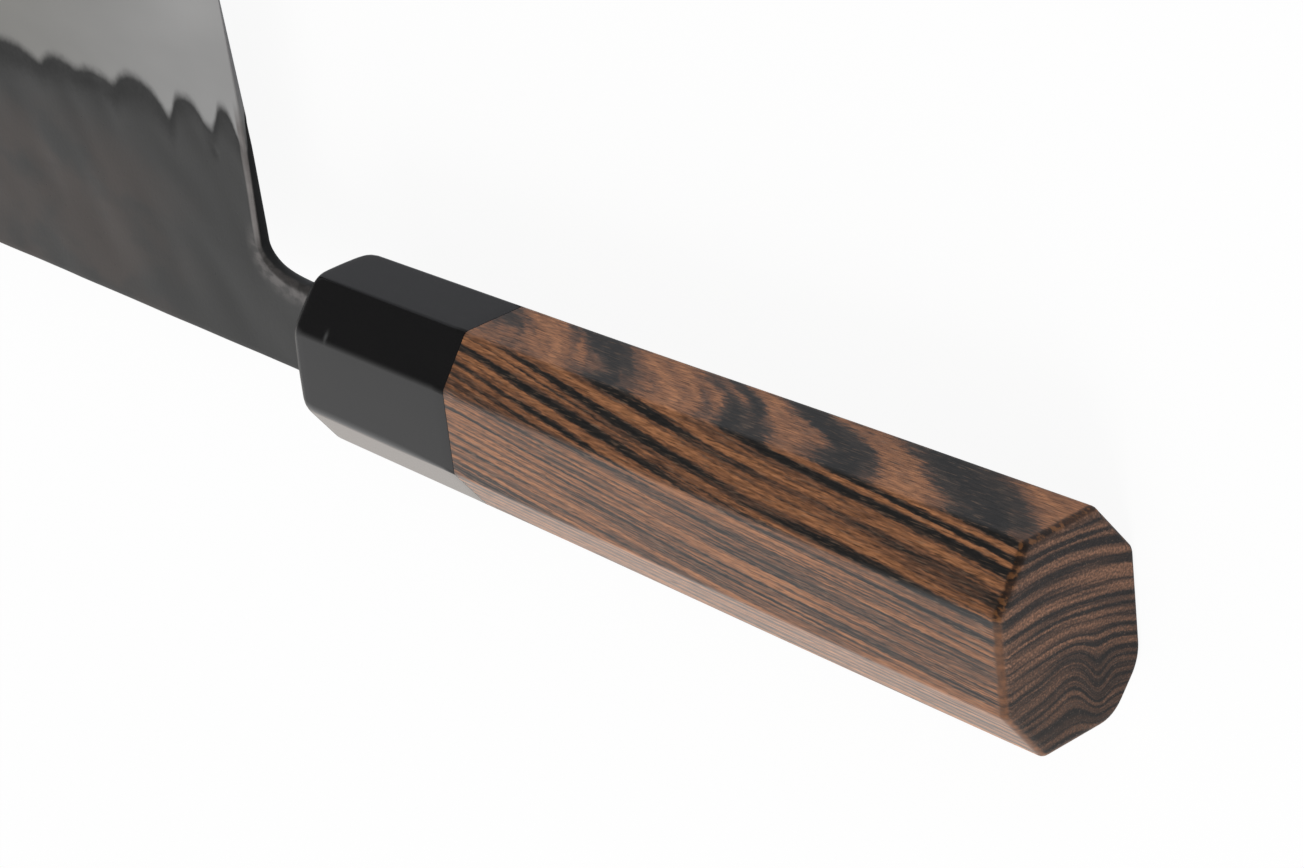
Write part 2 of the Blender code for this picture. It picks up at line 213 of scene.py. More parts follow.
class Graph(Tree):
    """Node tree of a finish, laid out in millimetres from the ferrule's mouth."""

    def __init__(self, name: str, origin: Vector) -> None:
        """Starts the finish's material, origin being the ferrule's mouth."""
        self.material = bpy.data.materials.new(name)
        super().__init__(self.material)
        self.surface = self.nodes["Principled BSDF"]
        coordinates = self.node("TexCoord", {}).outputs["Object"]
        place = {"Vector": coordinates, "Scale": (1 / MM,) * 3, "Location": -origin / MM}
        self.point = self.value("Mapping", place)

    def noise(self, vector: Source, detail: float = 2.0, roughness: float = 0.5) -> Value:
        """Smooth noise between 0 and 1, one unit of the vector to a bump."""
        inputs = {"Scale": 1.0, "Detail": detail, "Roughness": roughness, "Vector": vector}
        return self.value("TexNoise", inputs)

    def pattern(self, lengths: Triple, shift: float = 0.0, *quality: float) -> Value:
        """Noise whose bumps are drawn out to a length in each direction, taken from a shifted place."""
        scale = [1 / length for length in lengths]
        place = {"Scale": scale, "Location": (shift,) * 3, "Vector": self.point}
        return self.noise(self.value("Mapping", place), *quality)

    def stored(self, name: str) -> Value:
        """A number stored at the piece's vertices."""
        return self.value("Attribute", {}, "Fac", attribute_name=name)

    def bell(self, middle: Triple, sizes: Triple) -> Value:
        """Bell round a point: 1 at its middle, falling away over a size in each direction."""
        parts = zip(self.split(self.point), middle, sizes)
        away = [(part - centre) * (1 / size) for part, centre, size in parts]
        return self.math("EXPONENT", sum(part * part for part in away) * -0.5)

    def relief(self, height: Value, depth: float) -> None:
        """Bumps the surface by a height from 0 to 1 over a depth in millimetres."""
        bump = self.node("Bump", {"Strength": 1.0, "Distance": depth * MM, "Height": height})
        self.put(self.surface.inputs["Normal"], bump.outputs["Normal"])

    def paint(self, **sockets: Source) -> None:
        """Sets or links the shader's sockets, named with _ for a space."""
        self.fill(self.surface, {name.replace("_", " "): source for name, source in sockets.items()})


@dataclass(frozen=True)
class Finish:
    """A finish, which each kind lays out in its own material."""

    name: str = "finish"

    def lay(self, graph: Graph) -> None:
        """Lays the finish out in a material's graph."""
        raise NotImplementedError

    def make(self, origin: Vector) -> bpy.types.Material:
        """The finish's material, laid out from the ferrule's mouth."""
        graph = Graph(self.name, origin)
        self.lay(graph)
        return graph.material


@dataclass(frozen=True)
class StripedWood(Finish):
    """Dense hardwood whose growth layers lie across the blade's plane and lean along the handle.

    A layer is where height + lean * distance + arch is constant, and the facets cut the layers into
    broad flames on the facet over the edge, bold streaks on the chamfer and fine lines on the side.
    """

    name: str = "striped_wood"
    lean: float = 0.09
    lean_lost: float = 0.04
    lean_lost_behind: float = 80.0
    arch_middle: float = 4.4
    arch_radius: float = 37.0
    arch_lost: float = 0.42
    arch_lost_over: Pair = (7.5, 11.0)
    knot: Triple = (131.0, -7.6, -3.3)
    knot_size: Triple = (18.0, 3.0, 1.3)
    knot_lift: float = 2.0
    crest: Triple = (131.0, -6.4, 0.9)
    crest_size: Triple = (20.0, 3.2, 2.1)
    crest_lift: float = -1.3
    butt: float = 130.5
    far_end: Pair = (75.0, 110.0)
    side_slope: float = 0.0138
    side_limits: Pair = (8.45, 8.85)
    edge_slope: float = 0.0103
    edge_limits: Pair = (11.3, 11.7)
    dark_layers: tuple[float, ...] = (
        -13.6, -12.2, -10.9, -9.3, -7.9, -6.8, -5.3, -4.1, -2.7, -1.4, -0.2, 1.1, 2.1, 3.4, 4.6, 5.6,
        7.0, 8.2, 9.4, 10.8, 12.1, 13.4, 15.3, 17.6, 20.1, 21.15, 22.35, 24.4, 26.1,
    )
    tones: tuple[tuple[float, Triple], ...] = (
        (0.0, (0.365, 0.158, 0.07)),
        (0.25, (0.25, 0.108, 0.051)),
        (0.48, (0.12, 0.061, 0.038)),
        (0.72, (0.036, 0.027, 0.022)),
        (1.0, (0.0135, 0.0125, 0.012)),
    )
    pore: Triple = (0.014, 0.012, 0.011)
    fleck: Triple = (0.27, 0.17, 0.11)
    end_light: Triple = (0.175, 0.087, 0.052)
    end_dark: Triple = (0.02, 0.0165, 0.0155)
    end_dot: Triple = (0.25, 0.17, 0.13)
    # painted shade of the butt's rim on the edge side
    rim_shade: Triple = (0.016, 0.009, 0.006)
    rim_top: Triple = (0.15, 0.062, 0.022)
    rim_side: Triple = (0.13, 0.05, 0.018)

    def layer(self, graph: Graph) -> Value:
        """Height of the growth layer that a point lies on, in millimetres, with its wander."""
        x, y, z = graph.split(graph.point)
        behind = graph.math("SMOOTH_MAX", x - self.lean_lost_behind, 0.0, 20.0)
        leaning = x * self.lean - behind * self.lean_lost
        off_middle = z - self.arch_middle
        flatter = x.step(*self.far_end) * y.step(*self.arch_lost_over)
        arch = off_middle * off_middle * (0.5 / self.arch_radius) * (1.0 - flatter * self.arch_lost)
        knot = graph.bell(self.knot, self.knot_size) * self.knot_lift
        crest = graph.bell(self.crest, self.crest_size) * self.crest_lift
        wander = (graph.pattern((26, 8, 7), 0.0, 1.0) - 0.5) * 0.5
        ragged = (graph.pattern((5.0, 0.7, 0.5), 7.0, 2.0, 0.6) - 0.5) * 0.26
        serrated = (graph.pattern((1.2, 0.26, 0.26), 15.0, 1.0) - 0.5) * 0.3
        return y + leaning + arch + knot + crest + wander + ragged + serrated

    def wave(self, graph: Graph, layer: Value) -> Value:
        """Wave from 0 in the light layers to 1 at each dark one, sharper in the low ones."""
        low, high = self.dark_layers[0], self.dark_layers[-1]
        count = len(self.dark_layers) - 1
        stops = [((dark - low) / (high - low), i / count) for i, dark in enumerate(self.dark_layers)]
        turn = ((layer - low) * (1 / (high - low))).ramp(stops)
        wave = graph.math("COSINE", turn * (TURN * count)) * 0.5 + 0.5
        return graph.math("POWER", wave, layer.step(9.0, 15.0, 2.4, 1.4))

    def sheet(self, graph: Graph, layer: Value, run: float, pitch: float, width: float) -> Value:
        """Noise drawn out along the layers: run along the handle, pitch from layer to layer."""
        x, _, z = graph.split(graph.point)
        place = {0: x * (1 / run), 1: layer * (1 / pitch), 2: z * (1 / width)}
        return graph.noise(graph.value("CombineXYZ", place), 1.0)

    def lay(self, graph: Graph) -> None:
        """Lays out layers, fine lines, pores, end grain and a satin oiled surface, with painted light on the
        facet over the edge and painted shade on the butt's rim.
        """
        x, y, z = graph.split(graph.point)
        layer = self.layer(graph)
        wave = self.wave(graph, layer)
        boldness = self.sheet(graph, layer, 38.0, 1.6, 11.0)
        lines = self.sheet(graph, layer, 50.0, 0.42, 15.0)
        hairs = self.sheet(graph, layer, 26.0, 0.22, 5.0)
        fibres = graph.pattern((4.5, 0.34, 0.34), 3.0, 2.0, 0.6)
        pores = graph.pattern((2.8, 0.19, 0.19), 13.0, 1.0)
        flecks = graph.pattern((2.4, 0.2, 0.2), 11.0, 1.0)
        grain = graph.pattern((1.8, 0.2, 0.2), 21.0, 1.0)
        spots = graph.pattern((1.6, 0.7, 0.7), 17.0)
        dots = graph.pattern((0.3, 0.3, 0.3), 5.0, 1.0)

        side_facet = (z - x * self.side_slope).step(*self.side_limits)
        edge_facet = (y - x * self.edge_slope).step(*self.edge_limits)
        patches = boldness.step(0.34, 0.62).max(layer.step(19.6, 20.6))
        bold = (patches * 0.75 + 0.35) * layer.step(4.0, 12.0, 0.5, 1.0) * (1.0 - side_facet * 0.45)
        line_share = side_facet * 0.6 + 1.0 - edge_facet * 0.6
        depth = wave * bold * 0.95 + 0.19 + (lines - 0.5) * 1.3 * line_share
        depth = depth + (hairs - 0.5) * 1.1 + (fibres - 0.5) * 0.7
        far_tone = x.step(50.0, 115.0, 0.12, 0.22)
        # the factor (1 - edge_facet * 0.1) lightens the facet over the edge as painted light
        depth = side_facet.lerp(depth, depth * 0.9 + far_tone) * (1.0 - edge_facet * 0.1)
        grained = (1.8 - side_facet * 0.8) * (grain - 0.5) + 1.0
        colour = grained.tint(depth.ramp(self.tones))
        # painted light: the facet over the edge is brightened, most near the ferrule
        colour = edge_facet.lerp(1.0, x.step(*self.far_end, 1.28, 1.06)).tint(colour)
        colour = pores.step(0.6, 0.76, 0.0, 0.7).mix(colour, self.pore)
        colour = flecks.step(0.58, 0.74, 0.0, 0.4).mix(colour, self.fleck)

        # painted shade: on the edge side the butt's rim is near black with orange spots, on the side facet
        # plain orange-brown
        shaded_rim = spots.step(0.5, 0.62).mix(self.rim_shade, self.rim_top)
        rim = y.step(4.0, 6.5).mix((spots * 2.4 - 0.3).tint(self.rim_side), shaded_rim)
        rim_share = (x + (spots - 0.5)).step(self.butt - 1.5, self.butt - 1.0, 0.0, 0.88)
        colour = rim_share.mix(colour, rim)
        end_depth = wave * 0.4 + (lines * 1.5 - 0.6) + (boldness - 0.5) * 0.9
        end = (dots * 3.2 - 0.6).tint(end_depth.step(-0.2, 0.65).mix(self.end_light, self.end_dark))
        end = y.step(-12.0, 3.0, 0.5, 1.0).tint(end)
        end = dots.step(0.4, 0.28, 0.0, 0.3).mix(end, self.end_dot)
        across = x.step(self.butt - 0.42, self.butt - 0.12)
        colour = across.mix(colour, end)
        graph.paint(Base_Color=colour, Roughness=pores * 0.2 + 0.24 + across * 0.2, IOR=1.5)
        graph.relief(0.6 - pores * 0.6 - fibres * 0.4, 0.03)


@dataclass(frozen=True)
class BlackFerrule(Finish):
    """Black, close-grained and evenly polished, with faint hair lines along the handle."""

    name: str = "black_ferrule"
    colour: Triple = (0.006, 0.006, 0.0065)
    cloudy: Triple = (0.011, 0.01, 0.01)
    nick: Triple = (8.3, 6.2, 8.65)
    nick_size: Triple = (0.22, 0.5, 0.5)
    nick_colour: Triple = (0.1, 0.1, 0.1)
    roughness: float = 0.09

    def lay(self, graph: Graph) -> None:
        """Lays out clouds, hair lines, a small nick and a duller front."""
        hairs = graph.pattern((9, 0.25, 0.25), 0.0, 3.0)
        cloud = graph.pattern((7, 4, 4), 4.0)
        colour = (cloud * 0.6).mix(self.colour, self.cloudy)
        colour = (graph.bell(self.nick, self.nick_size) * 0.8).mix(colour, self.nick_colour)
        front = graph.split(graph.point)[0].step(3.0, 1.0, 0.0, 0.34)
        rough = (hairs - 0.5) * 0.06 + self.roughness + cloud * 0.04 + front
        graph.paint(Base_Color=colour, Roughness=rough, IOR=1.45)
        graph.relief(hairs, 0.0015)


@dataclass(frozen=True)
class ForgedSteel(Finish):
    """Blade finish by zone: dark forge scale with painted shade along its lobed border, ground satin bevel
    with a painted highlight, bare rounded corner, black choil wall with painted shade on its rounding.
    """

    name: str = "forged_blade"
    scale: Triple = (0.0155, 0.0155, 0.015)
    scale_warm: Triple = (0.033, 0.025, 0.0213)
    ground: Triple = (0.395, 0.392, 0.388)
    ground_tip: Triple = (0.315, 0.309, 0.294)
    bare: Triple = (0.232, 0.216, 0.21)
    # black of the choil wall, also painted as shade over the rounded corner on the right side
    wall: Triple = (0.007, 0.007, 0.007)
    edge_softness: float = 1.0
    scale_ior: float = 1.43
    tip_tone: Pair = (-20.0, -80.0)
    warm_from: Pair = (-24.0, -52.0)
    # painted highlight: middle and size of a soft bright spot painted on the ground bevel
    bevel_highlight: Triple = (-22.0, 44.0, 0.0)
    bevel_highlight_size: Triple = (9.0, 5.0, 50.0)

    def lay(self, graph: Graph) -> None:
        """Lays out the zones from the distances stored at the blade's vertices."""
        x, y, z = graph.split(graph.point)
        inside, corner = graph.stored("skin_distance"), graph.stored("corner_distance")
        blur = (graph.pattern((1.3, 1.3, 1.3), 0.0, 3.0) - 0.5) * 0.6
        patchy = graph.pattern((2.2, 1.4, 1.4), 8.0, 3.0)
        cloud = graph.pattern((15, 10, 10), 2.0, 3.0)
        grit = graph.pattern((0.7, 0.7, 0.7), 9.0, 3.0, 0.6)
        strokes = graph.pattern((0.16, 9, 9), 1.0)
        haze = graph.pattern((20, 8, 8), 6.0)

        skin = (inside + blur).step(-self.edge_softness, self.edge_softness)
        near = z.step(-0.12, 0.12)
        straight = y.step(8.5, 13.0)
        inner = corner + y.step(14.0, 27.0, 0.0, -0.35)
        bare = inner.step(0.75, 0.25) * corner.step(-1.0, -0.55)
        bare = bare * near * y.step(31.0, 26.5) * (patchy * 0.6 + 0.65) * (straight * 0.85 + 0.15)
        # painted shade: on the right side the rounded corner darkens gradually towards the black choil wall;
        # the wall itself is black scale
        near_wall_and_shade = straight.lerp(corner.step(-0.7, -1.0, 0.0, 0.8), corner.step(-0.55, -0.98))
        wall = near.lerp(corner.step(-0.02, -0.3), near_wall_and_shade) * y.step(21.0, 33.0, 1.0, 0.2)
        worn = corner.step(3.0, 0.1) * y.step(14.0, 8.5)
        worn = worn * (near * corner.step(-1.0, -0.5)) * patchy.step(0.36, 0.62, 0.2, 0.66)
        shown = bare.max(worn)

        # painted shade: the skin is darkened within a few millimetres of its lobed lower border, under the
        # lobes
        border = (inside + (cloud - 0.5) * 6.0).step(6.5, 1.0)
        warmth = cloud.step(0.36, 0.6) * x.step(*self.warm_from) * y.step(24.0, 12.0)
        dark = (grit * 0.5 + 0.8 - border * 0.52).tint(warmth.mix(self.scale, self.scale_warm))
        # painted highlight: the bevel's colour is brightened round one point
        bevel_highlight = graph.bell(self.bevel_highlight, self.bevel_highlight_size) * 0.14
        bright = x.step(*self.tip_tone).mix(self.ground, self.ground_tip)
        bright = (strokes * 0.07 + 0.87 + haze * 0.2 + bevel_highlight).tint(bright)
        colour = wall.mix(shown.mix(skin.mix(bright, dark), self.bare), self.wall)
        ground = 1.0 - skin
        metal = ground.max(shown) * (1.0 - wall)
        rough = skin * (grit * 0.2 + 0.22 + border * 0.22) + ground * (strokes * 0.08 + 0.34)
        graph.paint(Base_Color=colour, Metallic=metal, Roughness=rough, IOR=self.scale_ior)
        graph.relief(skin * (grit * 0.9) + ground * (strokes * 0.12), 0.012)


@dataclass(frozen=True)
class PaleWood(Finish):
    """Plain pale softwood of the dowel, with soft growth lines and short pores."""

    name: str = "pale_wood"
    light: Triple = (0.66, 0.5, 0.31)
    dark: Triple = (0.5, 0.33, 0.17)

    def lay(self, graph: Graph) -> None:
        """Lays out growth lines and pores."""
        lines = graph.pattern((40, 0.8, 2.5))
        pores = graph.pattern((1.4, 0.12, 0.12), 4.0, 1.0)
        colour = lines.step(0.35, 0.7).mix(self.light, self.dark)
        colour = pores.step(0.58, 0.75, 0.0, 0.5).mix(colour, self.dark)
        graph.paint(Base_Color=colour, Roughness=pores * 0.2 + 0.5, IOR=1.45)
        graph.relief(pores, 0.03)


@dataclass(frozen=True)
class DarkResin(Finish):
    """Dark hardened adhesive, glossy with a slightly wavy skin."""

    name: str = "dark_resin"
    colour: Triple = (0.03, 0.018, 0.01)
    mote: Triple = (0.075, 0.05, 0.03)

    def lay(self, graph: Graph) -> None:
        """Lays out waves and motes."""
        waves = graph.pattern((2.2, 2.2, 2.2))
        motes = graph.pattern((0.3, 0.3, 0.3), 3.0, 1.0)
        colour = motes.step(0.45, 0.8).mix(self.colour, self.mote)
        graph.paint(Base_Color=colour, Roughness=waves * 0.15 + 0.2, IOR=1.5)
        graph.relief(waves, 0.05)


def smooth(low: float, high: float, value: Array) -> Array:
    """Smooth step from 0 at low to 1 at high."""
    share = np.clip((value - low) / (high - low), 0, 1)
    return share * share * (3 - 2 * share)


def quadratic(start: Array, corner: Array, end: Array, share: Array) -> Array:
    """Quadratic curve from start to end, drawn towards the corner."""
    return (1 - share) ** 2 * start + 2 * share * (1 - share) * corner + share**2 * end


def outline_turns(points: Array) -> tuple[Array, Array, Array]:
    """Directions at the corners of closed outlines.

    Args:
        points: x and y of the corners in order, for one outline or a stack of them.

    Returns:
        The unit directions to the next corner and from the last one, and the step in from the
        corner that moves both of its sides in by one.
    """
    ahead = np.roll(points, -1, axis=-2) - points
    ahead /= np.linalg.norm(ahead, axis=-1, keepdims=True)
    behind = np.roll(ahead, 1, axis=-2)
    inward = np.stack((-ahead[..., 1] - behind[..., 1], ahead[..., 0] + behind[..., 0]), -1)
    return ahead, behind, inward / np.maximum(1 + (ahead * behind).sum(-1, keepdims=True), 0.5)


def mouth_point() -> Vector:
    """Point on the handle's axis at the ferrule's front, from which every piece is laid out."""
    low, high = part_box("ferrule")
    return Vector((low.x, (low.y + high.y) / 2, (low.z + high.z) / 2))


def to_mesh(name: str, points: Array, faces: Array, origin: Vector) -> Piece:
    """Makes a smooth-shaded object at the world's origin from points in millimetres.

    Args:
        name: name of the object.
        points: one row of x, y and z for each vertex, from the ferrule's mouth.
        faces: one row of four vertex numbers for each face, the fourth -1 on a triangle.
        origin: place of the ferrule's mouth in the row frame, in metres.

    Returns:
        The new object, linked to the scene.
    """
    mesh = bpy.data.meshes.new(name)
    world = points * MM + np.array(origin)
    quads, triangles = faces[faces[:, 3] >= 0], faces[faces[:, 3] < 0, :3]
    corners = np.concatenate((quads.ravel(), triangles.ravel())).astype(np.int32)
    counts = np.concatenate((np.full(len(quads), 4), np.full(len(triangles), 3)))
    starts = np.concatenate(([0], np.cumsum(counts)[:-1])).astype(np.int32)
    mesh.vertices.add(len(world))
    mesh.vertices.foreach_set("co", world.ravel().astype(np.float32))
    mesh.loops.add(len(corners))
    mesh.loops.foreach_set("vertex_index", corners)
    mesh.polygons.add(len(starts))
    mesh.polygons.foreach_set("loop_start", starts)
    mesh.polygons.foreach_set("use_smooth", np.ones(len(starts), bool))
    mesh.update(calc_edges=True)
    mesh.validate()
    piece = bpy.data.objects.new(name, mesh)
    bpy.context.scene.collection.objects.link(piece)
    return piece


def grid_faces(number: Array) -> Array:
    """Quads of a grid of vertex numbers."""
    corners = (number[:-1, :-1], number[1:, :-1], number[1:, 1:], number[:-1, 1:])
    return np.stack(corners, -1).reshape(-1, 4)


def tube_faces(rows: int, around: int) -> Array:
    """Quads between neighbouring rings of equal size, each ring closed on itself."""
    row, step = np.meshgrid(np.arange(rows - 1) * around, np.arange(around), indexing="ij")
    after = row + (step + 1) % around
    return np.stack((row + step, after, after + around, row + around + step), -1).reshape(-1, 4)


def fan_faces(pole: int, ring: Array, outward: bool) -> Array:
    """Triangles from one pole to a closed ring, facing along the ring's axis or against it."""
    ahead = np.roll(ring, -1)
    first, second = (ring, ahead) if outward else (ahead, ring)
    return np.stack((np.full(len(ring), pole), first, second, np.full(len(ring), -1)), 1)


def loop_of_rings(name: str, rings: Array, origin: Vector) -> Piece:
    """Closed surface through rings of equal size, the last joined to the first."""
    count, around = rings.shape[:2]
    faces = tube_faces(count + 1, around) % (count * around)
    return to_mesh(name, rings.reshape(-1, 3), faces, origin)


def flatten_shading(piece: Piece) -> None:
    """Lets wide faces rule the shading, so that flats stay flat between their rounded edges."""
    weighted = piece.modifiers.new("even_flats", "WEIGHTED_NORMAL")
    weighted.mode, weighted.weight = "FACE_AREA", 80


def add_values(piece: Piece, name: str, values: Array) -> None:
    """Stores one number for each vertex, for a material to read."""
    layer = piece.data.attributes.new(name, "FLOAT", "POINT")
    layer.data.foreach_set("value", values.astype(np.float32))


def coat(piece: Piece, material: bpy.types.Material) -> None:
    """Gives a piece one material in place of any that it has."""
    piece.data.materials.clear()
    piece.data.materials.append(material)


def finish_piece(piece: Piece, slot: Slot, material: bpy.types.Material, *nodes: str) -> None:
    """Dresses a piece, lets it ride with the knife and stand for CAD nodes.

    Args:
        piece: the finished object.
        slot: the record's slot that its finish belongs to; not used.
        material: its material.
        nodes: CAD nodes that it stands for.
    """
    coat(piece, material)
    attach(piece, BODY)
    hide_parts(*nodes)
    log.info("%s: %d faces", piece.name, len(piece.data.polygons))


@dataclass(frozen=True)
class Lobe:
    """One round end of the hammered skin, from the valley on its tip side to the next lobe.

    Offsets are millimetres from the handle's axis, start is millimetres behind the mouth, rise is the
    share of the lobe before its peak, and a larger power makes its front steeper and its top flatter.
    """

    start: float
    valley: float
    peak: float
    rise: float
    power: float


@dataclass
class Blade:
    """Forged blade with neck and tang as one closed surface.

    Its side is a grid of columns from tip to heel and rows from spine to edge. The rows under the neck
    go on as the neck and tang, and a rounded rim closes the two sides round the whole outline.
    """

    mouth: Vector
    foot_setback: float = 15.38
    heel_setback: float = 17.05
    heel_lean_from: float = 24.0
    heel_lean_start: float = -34.0
    heel_lean_power: float = 1.05
    tip_offset: float = 33.5
    nose_length: float = 58.0
    belly_power: float = 2.8
    spine_fall: float = 1.5
    neck_offset: float = 5.9
    choil_foot: float = 10.2
    choil_sweep: float = 8.5
    neck_swell: float = 0.85
    corner_reach: float = 5.0
    choil_round: Pair = (0.46, 0.62)
    hollow_round: Pair = (0.7, 0.88)
    shoulder_thickness: float = 1.4
    spine_taper: float = 0.4
    bevel_width: float = 21.0
    bevel_end: float = 0.2
    edge_thickness: float = 0.05
    honed_width: float = 0.6
    skin_step: float = 0.06
    skin_slope: Pair = (-0.8, 0.7)
    dents_fade: float = 1.6
    spine_ease: float = 0.3
    rim_share: float = 0.0116
    tang_height: float = 9.4
    tang_end_height: float = 5.0
    tang_end_thickness: float = 2.2
    mouth_wall: float = 10.0
    dent_count: int = 270
    dent_length: float = 4.4
    dent_width: float = 1.9
    dent_depth: float = 0.052
    dent_slant: float = -0.85
    lobe_dent: float = 0.1
    lobe_dent_along: float = 0.55
    lobe_dent_above: float = 3.4
    lobe_dent_size: float = 0.09
    dents_end_above_heel: float = 18.0
    dent_spans: tuple[Pair, ...] = ((0.3, 1.0), (-0.22, 0.22), (0.75, 1.4))
    dent_seed: int = 7
    lobe_seed: int = 31
    lobe_gap: float = 10.5
    lobe_gap_span: Pair = (0.75, 1.25)
    lobe_spans: tuple[Pair, ...] = ((-1.6, 0.6), (0.0, 0.9), (0.38, 0.52), (2.0, 5.0))
    lobe_shifts: tuple[float, ...] = (-0.8, -0.48, -0.16, 0.16, 0.48, 0.8)
    lobes_seen: tuple[Lobe, ...] = (
        Lobe(-77.5, 25.6, 27.9, 0.45, 2.6),
        Lobe(-63.2, 26.1, 28.1, 0.45, 2.2),
        Lobe(-53.8, 27.1, 27.9, 0.33, 2.6),
        Lobe(-45.2, 26.7, 29.1, 0.38, 3.1),
        Lobe(-32.0, 24.2, 28.7, 0.5, 5.0),
        Lobe(-23.6, 25.3, 25.5, 0.5, 2.0),
        Lobe(-21.9, 24.8, 29.2, 0.42, 4.6),
        Lobe(-15.8, 22.0, 26.0, 0.4, 3.0),
        Lobe(-9.0, 24.0, 28.0, 0.4, 3.0),
    )
    rows_in_neck: int = 28
    rows_above: int = 66
    neck_rows: Pair = (0.055, 0.86)
    blade_rows: Pair = (0.015, 0.975)
    rows_crowding: float = 0.09
    crowding_shift: float = 0.04
    columns_seen: int = 196
    columns_far: int = 118
    columns_seen_from: float = -93.0
    tip_gap: float = 0.4
    foot_gap: float = 1.6
    neck_columns_from: float = -6.8
    neck_columns: tuple[int, int, int] = (24, 18, 16)
    tang_end_taper: float = 1.25
    rim_steps: int = 6
    hollow_end: float = -12.5
    edge_tolerance: float = 0.05
    corner_zone: Pair = (7.0, 6.0)
    spine_offset: float = field(init=False)
    tip: float = field(init=False)
    heel_offset: float = field(init=False)
    thickness: float = field(init=False)
    tang_length: float = field(init=False)

    def __post_init__(self) -> None:
        """Takes the blade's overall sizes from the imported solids."""
        low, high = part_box("blade_core")
        right_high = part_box("cladding_right")[1]
        self.tip = (low.x - self.mouth.x) / MM
        self.tang_length = (high.x - self.mouth.x) / MM
        self.spine_offset = (self.mouth.y - low.y) / MM
        self.heel_offset = (high.y - self.mouth.y) / MM
        self.thickness = 2 * (right_high.z - self.mouth.z) / MM

    @property
    def length(self) -> float:
        """Length from heel to tip."""
        return -self.heel_setback - self.tip

    @property
    def neck_start(self) -> float:
        """Where the hollow curve ends and the neck begins."""
        return self.choil_sweep - self.foot_setback

    def spine(self, x: Array) -> Array:
        """Line of the spine: straight, falling towards the axis, then a circle's arc down to the tip."""
        straight = -self.spine_offset - self.spine_fall * np.minimum(x, 0) / -self.tip
        start = self.tip + self.nose_length
        top = -self.spine_offset - self.spine_fall * start / -self.tip
        drop = self.tip_offset - top
        radius = (self.nose_length**2 + drop**2) / (2 * drop)
        along = np.clip(start - x, 0, self.nose_length)
        arc = top + radius - np.sqrt(radius**2 - along**2)
        return np.where(x < start, arc, straight)

    def edge(self, x: Array) -> Array:
        """Line of the cutting edge: flat at the heel, then rising by a power of the distance."""
        along = np.clip((-self.heel_setback - x) / self.length, 0, 1)
        return self.heel_offset - (self.heel_offset - self.tip_offset) * along**self.belly_power

    def neck_curve(self, count: int) -> tuple[Array, Array]:
        """Hollow curve from the choil's foot to the neck, a quadratic curve pulled into its corner."""
        foot = np.array((-self.foot_setback, self.choil_foot))
        neck = np.array((self.neck_start, self.neck_offset + self.neck_swell))
        corner = np.array((0.94 * foot[0] + 0.06 * neck[0], 0.9 * neck[1] + 0.1 * foot[1]))
        points = quadratic(foot, corner, neck, np.linspace(0, 1, count)[:, None])
        return points[:, 0], points[:, 1]

    def flat_half(self, x: Array, y: Array) -> Array:
        """Half thickness of the flat: one plane that thins to the tip and to the edge."""
        to_tip = (-self.heel_setback - x) * self.spine_taper / self.length
        depth = self.heel_offset - self.bevel_width + self.spine_offset
        to_edge = (y + self.spine_offset) * (self.thickness - self.shoulder_thickness) / depth
        return (self.thickness - to_tip - to_edge) / 2

    def bevel_half(self, x: Array, y: Array) -> Array:
        """Half thickness of the ground bevel: straight from its shoulder to behind the edge."""
        edge = self.edge(x)
        shoulder = self.flat_half(x, edge - self.bevel_width) - self.skin_step
        share = (edge - y) / self.bevel_width
        return self.bevel_end / 2 + (shoulder - self.bevel_end / 2) * share

    def tang_half(self, x: Array) -> Array:
        """Half thickness of neck and tang: even to the mouth, then tapering to the tang's end."""
        inside = np.clip(x / self.tang_length, 0, 1)
        return (self.thickness + (self.tang_end_thickness - self.thickness) * inside) / 2

    def lobes(self, side: Side) -> Array:
        """Lobes of the skin's border: as seen on the right side, drawn by seed elsewhere.

        Args:
            side: which side of the blade.

        Returns:
            Rows of starts, valleys, peaks, rises and powers, in order from the tip.
        """
        draw, like = np.random.default_rng(self.lobe_seed + side.value), self.lobes_seen[0]
        first = like.start if side is Side.RIGHT else 0.0
        count = int((first - self.tip) / self.lobe_gap) + 3
        starts = first - np.cumsum(self.lobe_gap * draw.uniform(*self.lobe_gap_span, count))
        valleys, peaks, rises, powers = (draw.uniform(*span, count) for span in self.lobe_spans)
        drop = self.heel_offset - self.edge(starts)
        lower, upper = like.valley + valleys - drop, like.peak + peaks - drop
        drawn = np.stack((starts, lower, upper, rises, powers))[:, ::-1]
        if side is Side.LEFT:
            return drawn
        seen = np.array([astuple(lobe) for lobe in self.lobes_seen]).T
        return np.concatenate((drawn, seen), 1)

    def lobe_line(self, x: Array, side: Side) -> Array:
        """Line where the skin ends: each lobe rises fast on its tip side and falls away slowly.

        Over one lobe the line is the straight line between its valleys, drawn towards its peak by
        one less a power up to the peak, and by a power of one less a power behind it. The mean over
        a few places along the edge then rounds the valleys.
        """
        starts, valleys, peaks, rises, powers = self.lobes(side)
        place = x + np.array(self.lobe_shifts)[:, None]
        index = np.clip(np.searchsorted(starts, place) - 1, 0, len(starts) - 2)
        share = np.clip((place - starts[index]) / (starts[index + 1] - starts[index]), 0, 1)
        rise = rises[index]
        rising = 1 - (1 - np.minimum(share / rise, 1)) ** powers[index]
        falling = (1 - np.clip((share - rise) / (1 - rise), 0, 1) ** 2.2) ** 1.2
        base = valleys[index] + (valleys[index + 1] - valleys[index]) * share
        return (base + (peaks[index] - base) * rising * falling).mean(0)

